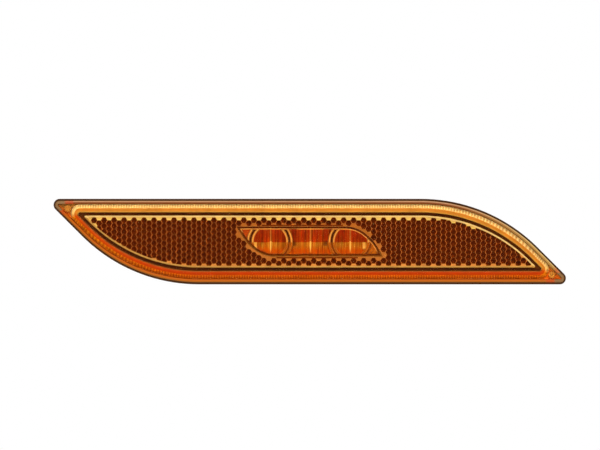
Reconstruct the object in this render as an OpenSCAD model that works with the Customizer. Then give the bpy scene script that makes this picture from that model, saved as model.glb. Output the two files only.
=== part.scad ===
// Side marker lamp with a reflex field round a three-cup lamp window
// X runs along the lamp, Z is up and the lens looks towards -Y.
// Y = 0 is the face of the panel that the gasket is pressed on.

/* [Outline] */
// Length over the two tips
lamp_length = 200; // [170:1:250]
// Height of the lens
lamp_height = 33.4; // [27:0.2:42]
// Angle between the long edges and the swept ends
sweep_angle = 45; // [38:1:55]
// Radius of the long curve that leads into each swept end
sweep_radius = 64.4; // [45:0.2:80]
// Radius of the two sharp tips
tip_radius = 2.4; // [1.6:0.1:3.5]
// Share of an inset that the long curve's radius loses
sweep_share = 0.61; // [0.4:0.01:1]

/* [Depths] */
// Thickness of the foam gasket
gasket_t = 2; // [1:0.1:4]
// Thickness of the housing flange
flange_t = 2.5; // [1.5:0.1:4]
// Height of the lens edge above the flange
lens_h = 5; // [4:0.1:8]
// Extra height of the lens in the middle
crown = 0.35; // [0.1:0.05:1]
// Thickness of the lens front
skin_t = 2.2; // [1.6:0.1:2.6]
// Depth of the tub behind the panel face
tub_depth = 4; // [3:0.1:7]
// Depth of the electronics box behind the panel face
box_depth = 13; // [11:0.1:20]
// Depth of the connector shroud behind the panel face
plug_depth = 25.5; // [23:0.5:34]

/* [Borders] */
// Thickness of the housing edge round the lens
edge_w = 0.7; // [0.5:0.1:0.8]
// Inset of the lens skirt's inner face
skirt_w = 1.8; // [1.6:0.1:1.9]
// Inset of the fluted trim ring's outer edge
ring_inset = 2.1; // [2.1:0.1:2.6]
// Width of the fluted slope
flute_w = 1.5; // [1:0.1:2]
// Distance between flutes
flute_pitch = 1; // [0.8:0.1:2]
// Depth of the flutes
flute_depth = 0.28; // [0.1:0.02:0.4]
// Inset of the trim ring's inner edge
ring_inner = 5.1; // [4.6:0.1:5.4]
// Inset of the reflex pad's outer edge
pad_inset = 6.6; // [6.3:0.1:7]
// Width of the raised rim round the pad
rim_w = 0.7; // [0.6:0.1:1.4]

/* [Reflex field] */
// Width of a cell across its flats
cell_size = 2.25; // [1.8:0.05:4]
// Shift of the cell pattern along the lamp
cell_x = 1.56; // [-3:0.01:3]
// Shift of the cell pattern in height
cell_z = -0.72; // [-2:0.01:2]
// Thickness of the pad in front of the cells
pad_t = 1.4; // [1:0.1:2]

/* [Lamp window] */
// Height of the window
window_h = 10.8; // [8:0.1:14]
// Distance from the middle to the start of the window's curved ends
window_flat = 13.9; // [10:0.1:20]
// Radius of the first part of a window end
window_r1 = 12.1; // [9:0.1:16]
// Radius of the second part of a window end
window_r2 = 20.3; // [14:0.1:28]
// Wall round the window
collar_w = 0.6; // [0.4:0.1:1]
// Distance between the lamp's light sources
led_pitch = 15.6; // [13:0.1:19]
// Place of the middle light source
led_shift = 0.3; // [-2:0.1:2]
// Radius of the two round reflector cups
cup_r = 6.4; // [5:0.1:7]
// Wall between cup and slot
cup_wall = 0.8; // [0.6:0.1:1.2]
// Slot between neighbouring cups
cup_slot = 0.6; // [0.4:0.1:1]
// Width of the flutes in the cups
cup_flute = 1.3; // [0.8:0.1:2.4]

/* [Electronics] */
// Thickness of the circuit board
board_t = 1.6; // [1:0.1:2]
// Radius of the screw shanks
screw_r = 1.1; // [0.9:0.05:1.5]
// Distance of the screws from the middle, along the lamp
screw_x = 26; // [24:0.5:27]
// Height of the screws from the middle
screw_z = 3.2; // [2.4:0.1:4]
// Place of the connector along the lamp
plug_x = -18; // [-24:1:-4]
// Inner width of the connector
plug_w = 13; // [11:0.5:18]
// Inner height of the connector
plug_h = 8; // [7:0.5:12]
// Distance between the terminals
terminal_pitch = 5.2; // [4:0.1:8]
// Width of a terminal blade
terminal_w = 2.8; // [1.8:0.1:4]
// Thickness of a terminal blade
terminal_t = 0.8; // [0.6:0.1:1]

/* [Fixing] */
// Thickness of the panel the lamp is made for
panel_t = 2.5; // [1:0.1:3]
// Place of the spring clip along the lamp
clip_x = 38; // [36:0.5:39]
// Width of the spring clip
clip_w = 8; // [5:0.5:12]
// Thickness of the spring steel
clip_t = 0.6; // [0.4:0.1:1]
// Radius of the locating pin
pin_r = 2; // [1.5:0.1:3]
// Length of the locating pin
pin_l = 6; // [4:0.5:9]
// Place of the locating pin along the lamp
pin_x = 73; // [68:1:76]

/* [Hidden] */
$fn = 48;
// Straight pieces that stand for the long curve and for the tip
n_sweep = 20;
n_tip = 10;
// Depths of the faces that meet, from the panel face outwards
y_flange = -gasket_t;
y_lens = y_flange - flange_t;
y_sole = y_lens - 0.45;
y_front = y_lens - lens_h;
y_skin = y_front + skin_t;
y_pad = y_skin + 0.3;
y_field = y_pad + pad_t;
y_cup = y_skin + 0.7;
y_board = 3.4;
y_parts = y_board + board_t;
lens_inset = edge_w + 0.05;
tub_inset = 5.3;
tub_wall = pad_inset + 0.7 - tub_inset;
wall = 1.8;
y_floor = box_depth - wall;
// End of the straight part of the long edges
sweep_x = lamp_length / 2 + tip_radius * (1 / tan(sweep_angle / 2) - 1) - sweep_radius * sin(sweep_angle)
    - (lamp_height - sweep_radius * (1 - cos(sweep_angle))) / tan(sweep_angle);
cell_r = cell_size / sqrt(3);
cell_step = cell_size / sqrt(6);
leds = [for (i = [-1:1]) led_shift + i * led_pitch];
// Clearance between the pad and the reflector
gap = 0.3;
board_l = 67;
board_h = min(14, lamp_height - 2 * pad_inset - 6);
board_x = -4;
screws = [[-screw_x, -screw_z], [screw_x, screw_z]];
terminals = [plug_x - terminal_pitch / 2, plug_x + terminal_pitch / 2];
blade_end = plug_depth - 5.3;
// Flutes on the long edge, on the long curve and on the straight end
n_long = round((sweep_x + lamp_length / 2 - 12) / flute_pitch);
n_bend = round(sweep_radius * sweep_angle / 57.3 / flute_pitch);
n_tail = 8;
// Round boss in the room that the trim ring leaves at the tips
boss = [lamp_length / 2 - 6.7, 4.04 - lamp_height / 2];
amber = [0.95, 0.5, 0.08];
black = [0.08, 0.08, 0.09];

// The lamp's outline at an inset, with its long curves shortened where they would not fit
function tip_r(d) = max(tip_radius - d, 0.4);
function long_r(d, t) = min(sweep_radius - sweep_share * d,
    (lamp_height - 2 * d - t * (1 + cos(sweep_angle)) - 0.1) / (1 - cos(sweep_angle)));
function sharp_x(d, t) = let (r = long_r(d, t)) sweep_x + r * sin(sweep_angle)
    + (lamp_height - 2 * d - r * (1 - cos(sweep_angle))) / tan(sweep_angle);
function curve_at(d, t, a) = let (r = long_r(d, t))
    [sweep_x + r * cos(a), lamp_height / 2 - d - r + r * sin(a)];
function tip_at(d, t, a) =
    [sharp_x(d, t) - t / tan(sweep_angle / 2) + t * cos(a), d - lamp_height / 2 + t + t * sin(a)];
function half_outline(d) = let (t = tip_r(d)) concat(
    [for (i = [0:n_sweep]) curve_at(d, t, 90 - sweep_angle * i / n_sweep)],
    [for (i = [0:n_tip]) tip_at(d, t, 90 - sweep_angle - (180 - sweep_angle) * i / n_tip)]);
function both_ends(half) = concat(half, [for (p = half) -p]);
function outline(d) = both_ends(half_outline(d));

// The lamp window's outline at an inset
function window(e) = let (h = window_h / 2, c1 = [-window_flat, window_r1 - h],
    c2 = c1 + (window_r1 - window_r2) * [cos(232), sin(232)],
    last = c2 + (window_r2 - e) * [cos(210), sin(210)],
    far = (h - e - last[1]) / cos(30)) both_ends(concat(
    [for (i = [0:8]) c1 + (window_r1 - e) * [cos(270 - 38 * i / 8), sin(270 - 38 * i / 8)]],
    [for (i = [1:6]) c2 + (window_r2 - e) * [cos(232 - 22 * i / 6), sin(232 - 22 * i / 6)]],
    [last + far * [-sin(30), cos(30)]]));

function within(p, loop) = let (n = len(loop))
    len([for (i = [0:n - 1]) if (cross(loop[(i + 1) % n] - loop[i], p - loop[i]) > 0) 1]) == 0;

// A flat shape, seen from the front, between two depths
module slab(front, back) {
    translate([0, back, 0]) rotate([90, 0, 0]) linear_extrude(back - front) children();
}

// A flat shape in depth and height, given a width along the lamp
module along_x(middle, w) {
    translate([middle - w / 2, 0, 0]) rotate([90, 0, 90]) linear_extrude(w) children();
}

module peg(x, z, r, front, back) {
    translate([x, back, z]) rotate([90, 0, 0]) cylinder(r = r, h = back - front);
}

module block(x, z, w, h, front, back) {
    translate([x - w / 2, front, z - h / 2]) cube([w, back - front, h]);
}

module rounded(w, h, r) {
    square([w - 2 * r, h], center = true);
    square([w, h - 2 * r], center = true);
    for (x = [-1, 1], z = [-1, 1]) translate([x * (w / 2 - r), z * (h / 2 - r)]) circle(r = r);
}

// Skin through loops of points, each with its own depth, closed by flat ends or round into a ring
module skin(loops, depths, ring) {
    n = len(loops[0]);
    m = len(loops);
    points = [for (j = [0:m - 1]) each [for (p = loops[j]) [p[0], depths[j], p[1]]]];
    sides = [for (j = [0:ring ? m - 1 : m - 2], i = [0:n - 1]) each
        let (a = j * n + i, b = j * n + (i + 1) % n, k = ((j + 1) % m) * n, c = k + (i + 1) % n)
        [[a, b, c], [a, c, k + i]]];
    caps = ring ? [] : [[for (i = [n - 1:-1:0]) i], [for (i = [0:n - 1]) (m - 1) * n + i]];
    polyhedron(points, concat(sides, caps), convexity = 6);
}

module lens() {
    inside = [[12, y_skin], [7, y_skin], [skirt_w + 0.8, y_skin], [skirt_w + 0.1, y_skin + 0.4],
        [skirt_w, y_lens]];
    outside = concat([for (s = [[0, y_lens - y_front], [0, 1.3], [0.06, 0.8], [0.2, 0.42],
        [0.45, 0.18], [0.8, 0.06]]) [lens_inset + s[0], y_front + s[1]]],
        [[2.4, y_front], [7, y_front - 0.6 * crown], [12, y_front - crown]]);
    profile = concat(inside, outside);
    color(amber, 0.6) union() {
        skin([for (s = profile) outline(s[0])], [for (s = profile) s[1]], false);
        for (side = [-1, 1]) difference() {
            peg(side * boss[0], side * boss[1], 1.6, y_skin - 0.4, y_sole);
            peg(side * boss[0], side * boss[1], 0.9, y_skin + 0.6, y_lens + 1);
        }
    }
}

// The trim ring stands on a flat sole that fills the groove between it and the pad.
// Flutes run across its slope, so every second point of two loops steps in.
// The ring ends in a rounder tip than the lens and leaves room for the lens boss.
function ring_tip(d) = 5 - 1.37 * (d - ring_inset);
function fluted(d, deep) = let (t = ring_tip(d), start = sharp_x(d, t) - t / tan(sweep_angle / 2),
    a = 90 - sweep_angle, from = curve_at(d, t, a), to = tip_at(d, t, a)) both_ends(concat(
    [for (i = [0:2 * n_long - 1])
        [(sweep_x + start) * i / (2 * n_long) - start, lamp_height / 2 - d - deep * (i % 2)]],
    [for (i = [0:2 * n_bend - 1]) curve_at(d + deep * (i % 2), t, 90 - sweep_angle * i / (2 * n_bend))],
    [for (i = [0:2 * n_tail - 1])
        from + (to - from) * i / (2 * n_tail) - deep * (i % 2) * [sin(sweep_angle), cos(sweep_angle)]],
    [for (i = [0:n_tip - 1]) tip_at(d, t, a - (180 - sweep_angle) * i / n_tip)]));

module trim_ring() {
    slope = ring_inset + flute_w;
    color([0.95, 0.55, 0.14]) union() {
        skin([fluted(ring_inset, 0), fluted(ring_inset, flute_depth), fluted(slope, flute_depth),
            fluted(ring_inner, 0), fluted(ring_inner, 0)],
            [y_lens - 0.2, y_lens - 1.1, y_skin, y_skin, y_lens - 0.2], true);
        slab(y_sole, y_lens) difference() {
            polygon(outline(skirt_w + 0.15));
            polygon(outline(pad_inset - 0.05));
        }
    }
}

// Corner cubes on the back of the pad: three square faces meet at the peak of each cell.
// Cells that reach under the rim are cut off there, and none reaches into the window.
module corner_cubes() {
    ring = [[2, 0], [1, 1], [-1, 1], [-2, 0], [-1, -1], [1, -1]];
    next = [[3, 1], [0, 2], [-3, 1], [-3, -1], [0, -2], [3, -1]];
    edge = outline(pad_inset + rim_w + 0.2);
    hole = window(0.1 - collar_w);
    tip = hole[len(hole) / 2 - 1];
    columns = ceil(lamp_length / 3 / cell_r);
    rows = ceil(lamp_height / 2 / cell_size);
    function flat(c) = [cell_x + c[0] * cell_r / 2, cell_z + c[1] * cell_size / 2];
    function clear(c) = len([for (v = ring) if (within(flat(c + 0.8 * v), hole)) 1]) == 0;
    function whole(c) = norm(flat(c) - tip) > cell_r && norm(flat(c) + tip) > cell_r
        && within(flat(c), edge) && clear(c);
    cells = [for (i = [-columns:columns], k = [-rows:rows])
        let (c = [3 * i, 2 * k + abs(i % 2)]) if (whole(c)) c];
    function point(c, lift) = [flat(c)[0], y_field + lift, flat(c)[1]];
    points = [for (c = cells) each concat([point(c, 2.15 * cell_step)],
        [for (i = [0:5]) point(c + ring[i], (i % 2 == 0 ? 1.15 : 0.15) * cell_step)],
        [for (i = [0:5]) point(c + ring[i], -0.4)])];
    peaks = [for (j = [0:len(cells) - 1]) each [for (i = [0, 2, 4])
        [13 * j, 13 * j + 1 + (i + 4) % 6, 13 * j + 1 + (i + 5) % 6, 13 * j + 1 + i]]];
    roots = [for (j = [0:len(cells) - 1]) [for (i = [5:-1:0]) 13 * j + 7 + i]];
    sides = [for (j = [0:len(cells) - 1]) each [for (i = [0:5]) if (!whole(cells[j] + next[i]))
        [13 * j + 1 + (i + 1) % 6, 13 * j + 7 + (i + 1) % 6, 13 * j + 7 + i, 13 * j + 1 + i]]];
    polyhedron(points, concat(peaks, roots, sides), convexity = 10);
}

module reflex_reflector() {
    color([0.75, 0.36, 0.06]) union() {
        slab(y_skin, y_lens) difference() {
            polygon(outline(pad_inset));
            polygon(outline(pad_inset + rim_w));
        }
        slab(y_pad, y_field) difference() {
            polygon(outline(pad_inset + rim_w / 2));
            polygon(window(-collar_w / 2));
        }
        slab(y_pad, y_field + 1.4) difference() {
            polygon(window(-collar_w));
            polygon(window(0));
        }
        intersection() {
            corner_cubes();
            slab(y_pad, y_lens + 2) polygon(outline(pad_inset + rim_w + 0.05));
        }
    }
}

// The space in front of a light source: two sloping halves that meet in a crease, with upright flutes
module cup_space(x) {
    m = 43;
    n = 13;
    function across(j) = (j - 21) / 3 * cup_flute;
    function deep(u, t) = y_board - 1.9 - 7.4 * (0.35 * abs(t) + 0.65 * t * t) - 0.05 * u * u
        + 0.14 * sin(180 * (u / cup_flute - floor(u / cup_flute + 0.001)));
    far = [for (j = [0:m - 1], k = [0:n - 1]) let (u = across(j), t = (k - 6) / 6)
        [x + u, deep(u, t), t * window_h / 2]];
    near = [for (p = far) [p[0], y_cup - 5, p[2]]];
    h = n * m;
    faces = [for (j = [0:m - 2], k = [0:n - 2]) each let (a = j * n + k, b = h + a)
        [[a, a + n, a + n + 1], [a, a + n + 1, a + 1], [b, b + n + 1, b + n], [b, b + 1, b + n + 1]]];
    ends = [for (k = [0:n - 2]) each let (b = h - n + k)
        [[k, k + 1, h + k + 1, h + k], [b, h + b, h + b + 1, b + 1]]];
    edges = [for (j = [0:m - 2]) each let (a = j * n, b = a + n - 1)
        [[a, h + a, h + a + n, a + n], [b, b + n, h + b + n, h + b]]];
    polyhedron(concat(far, near), concat(faces, ends, edges), convexity = 6);
}

module lamp_reflector() {
    inner = gap + cup_wall;
    rim = cup_r + 2 * cup_wall + cup_slot;
    color([0.85, 0.85, 0.87]) difference() {
        union() {
            slab(y_cup, y_board - 1) polygon(window(gap));
            block(0, 0, 58, board_h - 0.2, y_board - 1.5, y_board);
        }
        for (i = [0, 2]) intersection() {
            slab(y_cup - 1, y_board) intersection() {
                polygon(window(inner));
                translate([leds[i], 0]) circle(r = cup_r);
            }
            cup_space(leds[i]);
        }
        intersection() {
            slab(y_cup - 1, y_board) difference() {
                intersection() {
                    polygon(window(inner));
                    translate([leds[1], 0]) square([2 * led_pitch, window_h], center = true);
                }
                for (i = [0, 2]) translate([leds[i], 0]) circle(r = rim);
            }
            cup_space(leds[1]);
        }
        slab(y_cup - 1, y_cup + 3) intersection() {
            polygon(window(inner));
            for (i = [0, 2]) translate([leds[i], 0]) difference() {
                circle(r = rim - cup_wall);
                circle(r = cup_r + cup_wall);
            }
        }
        slab(y_cup - 1, y_cup + 1.6) difference() {
            polygon(window(inner));
            translate([leds[1], 0]) square([2 * led_pitch, window_h], center = true);
            for (i = [0, 2]) translate([leds[i], 0]) circle(r = rim);
        }
        for (x = leds) block(x, 0, 3.6, 3.2, y_board - 3, y_board + 1);
        for (s = screws) peg(s[0], s[1], screw_r + 0.25, y_board - 3, y_board + 1);
    }
}

module circuit_board() {
    color([0.1, 0.35, 0.16]) difference() {
        block(board_x, 0, board_l, board_h, y_board, y_parts);
        for (s = screws) peg(s[0], s[1], screw_r + 0.25, y_board - 1, y_parts + 1);
    }
}

// Light source: a white frame with a low clear dome
module led(x) {
    color([0.95, 0.85, 0.5]) union() {
        block(x, 0, 3, 2.6, y_board - 1.4, y_board);
        peg(x, 0, 1.1, y_board - 1.8, y_board - 1);
    }
}
module led_1() { led(leds[0]); }
module led_2() { led(leds[1]); }
module led_3() { led(leds[2]); }

// Flat chip with a solder cap at each end
module chip(x, z, w, h, t, cap, tint) {
    color(tint) union() {
        block(x, z, w - cap, h - 0.2, y_parts, y_parts + t);
        for (side = [-1, 1]) block(x + side * (w - cap) / 2, z, cap, h, y_parts, y_parts + t * 0.8);
    }
}
module resistor_1() { chip(leds[0] + 3, board_h / 2 - 2.6, 6.3, 3.2, 0.6, 1, [0.2, 0.2, 0.2]); }
module resistor_2() { chip(leds[1], board_h / 2 - 2.6, 6.3, 3.2, 0.6, 1, [0.2, 0.2, 0.2]); }
module resistor_3() { chip(leds[2] - 3, board_h / 2 - 2.6, 6.3, 3.2, 0.6, 1, [0.2, 0.2, 0.2]); }
module diode() { chip(-33.4, board_h / 2 - 3.2, 4.8, 3.8, 2.2, 1.2, [0.16, 0.16, 0.17]); }
module surge_suppressor() { chip(-33.4, 3.4 - board_h / 2, 6.8, 5.6, 2.4, 1.4, [0.14, 0.14, 0.15]); }

module capacitor() {
    h = min(5.3, y_floor - y_parts - 0.8);
    color([0.75, 0.76, 0.78]) union() {
        block(9, 3.4 - board_h / 2, 5.2, 5.2, y_parts, y_parts + 1.2);
        peg(9, 3.4 - board_h / 2, 2.5, y_parts + 1, y_parts + h);
    }
}

// Flat blade that stands on the board, rests on the box floor and runs on into the connector
module terminal(x) {
    w = terminal_w / 2;
    color([0.82, 0.8, 0.74]) union() {
        block(x, 0, 3, terminal_w + 1.2, y_parts, y_parts + 0.8);
        along_x(x, terminal_t) polygon([[y_parts + 0.4, -w - 0.6], [y_floor, -w - 0.6], [y_floor, -w],
            [blade_end - 1, -w], [blade_end, -w / 2], [blade_end, w / 2], [blade_end - 1, w],
            [y_floor, w], [y_floor, w + 0.6], [y_parts + 0.4, w + 0.6]]);
    }
}
module terminal_positive() { terminal(terminals[0]); }
module terminal_negative() { terminal(terminals[1]); }

module screw(at) {
    head = y_board - 1.5;
    color([0.7, 0.7, 0.72]) difference() {
        union() {
            peg(at[0], at[1], 2 * screw_r, head - 1.5, head);
            peg(at[0], at[1], screw_r, head - 0.5, y_parts + 5);
        }
        for (turn = [[2.4, 0.6], [0.6, 2.4]]) block(at[0], at[1], turn[0], turn[1], head - 3, head - 0.6);
    }
}
module screw_left() { screw(screws[0]); }
module screw_right() { screw(screws[1]); }

module gasket() {
    color([0.13, 0.13, 0.13]) slab(y_flange, 0) difference() {
        polygon(outline(0.9));
        polygon(outline(tub_inset - 0.4));
    }
}

module vent_membrane() {
    color([0.9, 0.9, 0.9]) peg(15, 0, 3.8, box_depth, box_depth + 0.4);
}

// Path with rounded bends, and the outline of a strip that follows a path
function toward(a, b, r) = a + r * (b - a) / norm(b - a);
function soft(p, r) = concat([p[0]], [for (i = [1:len(p) - 2]) each
    let (a = toward(p[i], p[i - 1], r), b = toward(p[i], p[i + 1], r))
    [for (s = [0:0.25:1]) (1 - s) * (1 - s) * a + 2 * s * (1 - s) * p[i] + s * s * b]], [p[len(p) - 1]]);
function side_of(p, i) = let (v = p[i] - p[i - 1]) [-v[1], v[0]] / norm(v);
function strip(p, t) = let (n = len(p), s = [for (i = [0:n - 1])
    let (a = side_of(p, max(i, 1)), b = side_of(p, min(i + 1, n - 1))) (a + b) / (1 + a * b)])
    concat([for (i = [0:n - 1]) p[i] + s[i] * t / 2], [for (i = [n - 1:-1:0]) p[i] - s[i] * t / 2]);

module spring_clip() {
    edge = lamp_height / 2 - tub_inset;
    y = tub_depth + clip_t / 2;
    arm = [[y, edge - 4.4], [y + 5, edge - 2.6], [panel_t + 1.6, edge + 1.5],
        [panel_t + 0.4, edge + 0.6]];
    path = concat([for (i = [3:-1:0]) [arm[i][0], -arm[i][1]]], arm);
    color([0.6, 0.62, 0.64]) difference() {
        along_x(clip_x, clip_w) polygon(strip(soft(path, 0.9), clip_t));
        peg(clip_x, 0, 2, tub_depth - 1, tub_depth + 3);
    }
}

// Rib on the back of the tub with sloping ends
module rib(x1, x2, z, top) {
    translate([0, 0, z - 0.8]) linear_extrude(1.6)
        polygon([[x1, tub_depth - 0.5], [x1 + 1, top], [x2 - 4, top], [x2, tub_depth],
            [x2, tub_depth - 0.5]]);
}

module housing() {
    box_l = board_l + 1.4 + 2 * wall;
    box_h = board_h + 0.6 + 2 * wall;
    tail = lamp_length / 2;
    edge = [[0, y_flange], [0, y_front + 1.3], [0.1, y_front + 1.05], [0.3, y_front + 0.95],
        [edge_w, y_front + 0.95], [edge_w, y_lens]];
    color(black) union() {
        difference() {
            union() {
                skin([for (s = edge) outline(s[0])], [for (s = edge) s[1]], false);
                slab(y_flange - 0.5, tub_depth) polygon(outline(tub_inset));
                block(board_x, 0, box_l, box_h, tub_depth - 1, box_depth);
                translate([plug_x, 0, 0]) slab(box_depth - 0.5, plug_depth)
                    rounded(plug_w + 3.4, plug_h + 3.4, 1.8);
                for (x = [-4.5, 4.5])
                    block(plug_x + x, -plug_h / 2 - 1.9, 1.4, 2, box_depth - 0.5, plug_depth - 1);
                along_x(plug_x, 5) polygon([[plug_depth - 7, plug_h / 2 + 1],
                    [plug_depth - 6.8, plug_h / 2 + 3], [plug_depth - 2, plug_h / 2 + 1.9],
                    [plug_depth - 2, plug_h / 2 + 1]]);
                peg(15, 0, 5, box_depth - 0.5, box_depth + 1.2);
                for (z = [-6, 2]) rib(45, 64, z, tub_depth + 3);
                for (z = [-2, 6]) mirror([1, 0, 0]) rib(39, 70, z, tub_depth + 5);
            }
            slab(y_lens - 1, tub_depth - wall) polygon(outline(tub_inset + tub_wall));
            block(board_x, 0, box_l - 2 * wall, box_h - 2 * wall, 0, y_floor);
            block(plug_x, 0, plug_w, plug_h, box_depth, plug_depth + 1);
            for (x = terminals) block(x, 0, terminal_t + 0.1, terminal_w + 0.1, y_floor - 1, box_depth + 1);
            peg(15, 0, 4.1, box_depth, box_depth + 2);
            peg(15, 0, 1.2, y_floor - 1, box_depth + 1);
        }
        for (s = screws) difference() {
            peg(s[0], s[1], screw_r + 1.4, y_parts, y_floor + 0.5);
            peg(s[0], s[1], screw_r + 0.05, y_parts - 1, y_parts + 5.6);
        }
        for (x = [-22, 12], side = [-1, 1])
            block(x, side * board_h / 2, 3, 1.2, y_parts, y_floor + 0.5);
        for (x = [44, 62, -50, -66]) block(x, 0, 1.2, 12, -1.5, tub_depth - wall + 0.5);
        peg(pin_x, -lamp_height / 2 + 10.6, pin_r, tub_depth - 0.5, tub_depth + pin_l);
        peg(clip_x, 0, 1.8, tub_depth - 0.5, tub_depth + clip_t + 0.5);
        peg(clip_x, 0, 2.9, tub_depth + clip_t, tub_depth + clip_t + 1.2);
        slab(panel_t + 0.5, panel_t + 2.7) intersection() {
            polygon(outline(1.5));
            translate([-tail, lamp_height / 2 - 11.2]) square([19, 5.6]);
        }
        for (z = [-10.4, -7.2]) translate([-tail, 0, lamp_height / 2 + z]) linear_extrude(1.4)
            polygon([[8, panel_t + 2.2], [15, panel_t + 6], [19, panel_t + 6], [19, panel_t + 2.2]]);
    }
}

lens();
trim_ring();
reflex_reflector();
lamp_reflector();
circuit_board();
led_1();
led_2();
led_3();
resistor_1();
resistor_2();
resistor_3();
diode();
surge_suppressor();
capacitor();
terminal_positive();
terminal_negative();
screw_left();
screw_right();
housing();
gasket();
vent_membrane();
spring_clip();
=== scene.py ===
import math

import bmesh
import bpy
from mathutils import Matrix, Vector


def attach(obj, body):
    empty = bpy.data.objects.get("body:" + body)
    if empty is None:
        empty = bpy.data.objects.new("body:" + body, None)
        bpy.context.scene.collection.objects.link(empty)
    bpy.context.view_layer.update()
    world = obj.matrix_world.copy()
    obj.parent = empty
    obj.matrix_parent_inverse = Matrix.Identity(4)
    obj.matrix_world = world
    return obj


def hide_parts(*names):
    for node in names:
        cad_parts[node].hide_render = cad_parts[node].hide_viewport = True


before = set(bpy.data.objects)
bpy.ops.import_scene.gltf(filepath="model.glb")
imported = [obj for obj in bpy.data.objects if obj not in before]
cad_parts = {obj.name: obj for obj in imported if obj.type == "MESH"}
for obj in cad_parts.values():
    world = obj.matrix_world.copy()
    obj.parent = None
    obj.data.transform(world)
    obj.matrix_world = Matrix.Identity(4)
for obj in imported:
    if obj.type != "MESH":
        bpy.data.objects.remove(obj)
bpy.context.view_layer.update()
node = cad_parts

# Housing: black glass-filled plastic, moulded in one piece with its flange, electronics box,
# connector shroud, hook lip, pin and clip stake. The mould leaves a fine grain on it.
EDGE_FOOT_Y, EDGE_FRONT_Y = -0.0078, -0.0083


def rgb(r, g, b):
    """A screen colour of 0 to 255 as the linear colour that a shader takes."""
    screen = (r / 255, g / 255, b / 255)
    return tuple(c / 12.92 if c <= 0.04045 else ((c + 0.055) / 1.055) ** 2.4 for c in screen) + (1.0,)


def new_finish(name, colour, roughness, **plain):
    """A new material, its node tree and its shader. Plain values go on the shader's sockets."""
    finish = bpy.data.materials.new(name)
    finish.use_nodes = True
    skin = finish.node_tree.nodes["Principled BSDF"]
    skin.inputs["Base Color"].default_value = colour
    skin.inputs["Roughness"].default_value = roughness
    for socket, value in plain.items():
        skin.inputs[socket.replace("_", " ")].default_value = value
    return finish, finish.node_tree, skin


def place(tree, kind, at=(-400, 0), **settings):
    """One new node."""
    n = tree.nodes.new(kind)
    n.location = at
    for key, value in settings.items():
        setattr(n, key, value)
    return n


def new_group(name, inputs, outputs):
    """A node group with named sockets, each a Color or a Float, and its two end nodes."""
    group = bpy.data.node_groups.new(name, "ShaderNodeTree")
    for way, sockets in (("INPUT", inputs), ("OUTPUT", outputs)):
        for key, kind in sockets.items():
            group.interface.new_socket(key, in_out=way, socket_type="NodeSocket" + kind)
    return group, place(group, "NodeGroupInput", (-900, 0)), place(group, "NodeGroupOutput", (500, 0))


def own_place(tree, at=(-1000, 0)):
    """Where a point lies on the piece, in metres."""
    return place(tree, "ShaderNodeTexCoord", at).outputs["Object"]


def split(tree, where, at=(-900, 0)):
    """The X, Y and Z of a place."""
    parts = place(tree, "ShaderNodeSeparateXYZ", at)
    tree.links.new(where, parts.inputs["Vector"])
    return [parts.outputs[key] for key in "XYZ"]


def cloud(tree, where, scale, detail, at=(-600, 0)):
    """Soft noise over the piece."""
    n = place(tree, "ShaderNodeTexNoise", at)
    n.inputs["Scale"].default_value = scale
    n.inputs["Detail"].default_value = detail
    tree.links.new(where, n.inputs["Vector"])
    return n.outputs["Fac"]


def chain(tree, operation, a, b=None, at=(-1000, 0)):
    """One Math node on two numbers or sockets."""
    n = place(tree, "ShaderNodeMath", at, operation=operation)
    for i, value in enumerate((a, b)):
        if isinstance(value, (int, float)):
            n.inputs[i].default_value = value
        elif value is not None:
            tree.links.new(value, n.inputs[i])
    return n.outputs["Value"]


def ranged(tree, value, low, high, to_low=0.0, to_high=1.0, at=(-800, 0)):
    """One Map Range node, which holds what lies past its ends."""
    n = place(tree, "ShaderNodeMapRange", at)
    n.inputs["From Min"].default_value = low
    n.inputs["From Max"].default_value = high
    n.inputs["To Min"].default_value = to_low
    n.inputs["To Max"].default_value = to_high
    tree.links.new(value, n.inputs["Value"])
    return n.outputs["Result"]


def mixed(tree, factor, a, b, at=(-400, 0), blend="MIX"):
    """One colour Mix node on colours or sockets. Its inputs 6 and 7 are the two colours."""
    n = place(tree, "ShaderNodeMix", at, data_type="RGBA", blend_type=blend)
    for i, value in ((0, factor), (6, a), (7, b)):
        if isinstance(value, (int, float, tuple)):
            n.inputs[i].default_value = value
        else:
            tree.links.new(value, n.inputs[i])
    return n.outputs[2]


def roughened(tree, skin, height, strength, depth):
    """Fine relief on a finish, depth metres deep."""
    bump = place(tree, "ShaderNodeBump", (-250, -200))
    bump.inputs["Strength"].default_value = strength
    bump.inputs["Distance"].default_value = depth
    tree.links.new(height, bump.inputs["Height"])
    tree.links.new(bump.outputs["Normal"], skin.inputs["Normal"])


grain, g_in, g_out = new_group(
    "MouldedGrain",
    {"Scale": "Float", "Base": "Color", "Worn": "Color", "Roughness": "Float"},
    {"Color": "Color", "Roughness": "Float", "Height": "Float"},
)
g_at = own_place(grain, (-900, 300))
g_fine = cloud(grain, g_at, 1, 3, (-650, 200))
g_broad = cloud(grain, g_at, 70, 4, (-650, -100))
g_worn = ranged(grain, g_broad, 0.45, 0.75, at=(-400, -100))
g_tone = mixed(grain, g_worn, g_in.outputs["Base"], g_in.outputs["Worn"], (-100, 0))
g_rough = chain(grain, "MULTIPLY_ADD", g_worn, 0.18, (-100, -250))
grain.links.new(g_in.outputs["Scale"], g_fine.node.inputs["Scale"])
grain.links.new(g_in.outputs["Roughness"], g_rough.node.inputs[2])
grain.links.new(g_tone, g_out.inputs["Color"])
grain.links.new(g_rough, g_out.inputs["Roughness"])
grain.links.new(g_fine, g_out.inputs["Height"])


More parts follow.
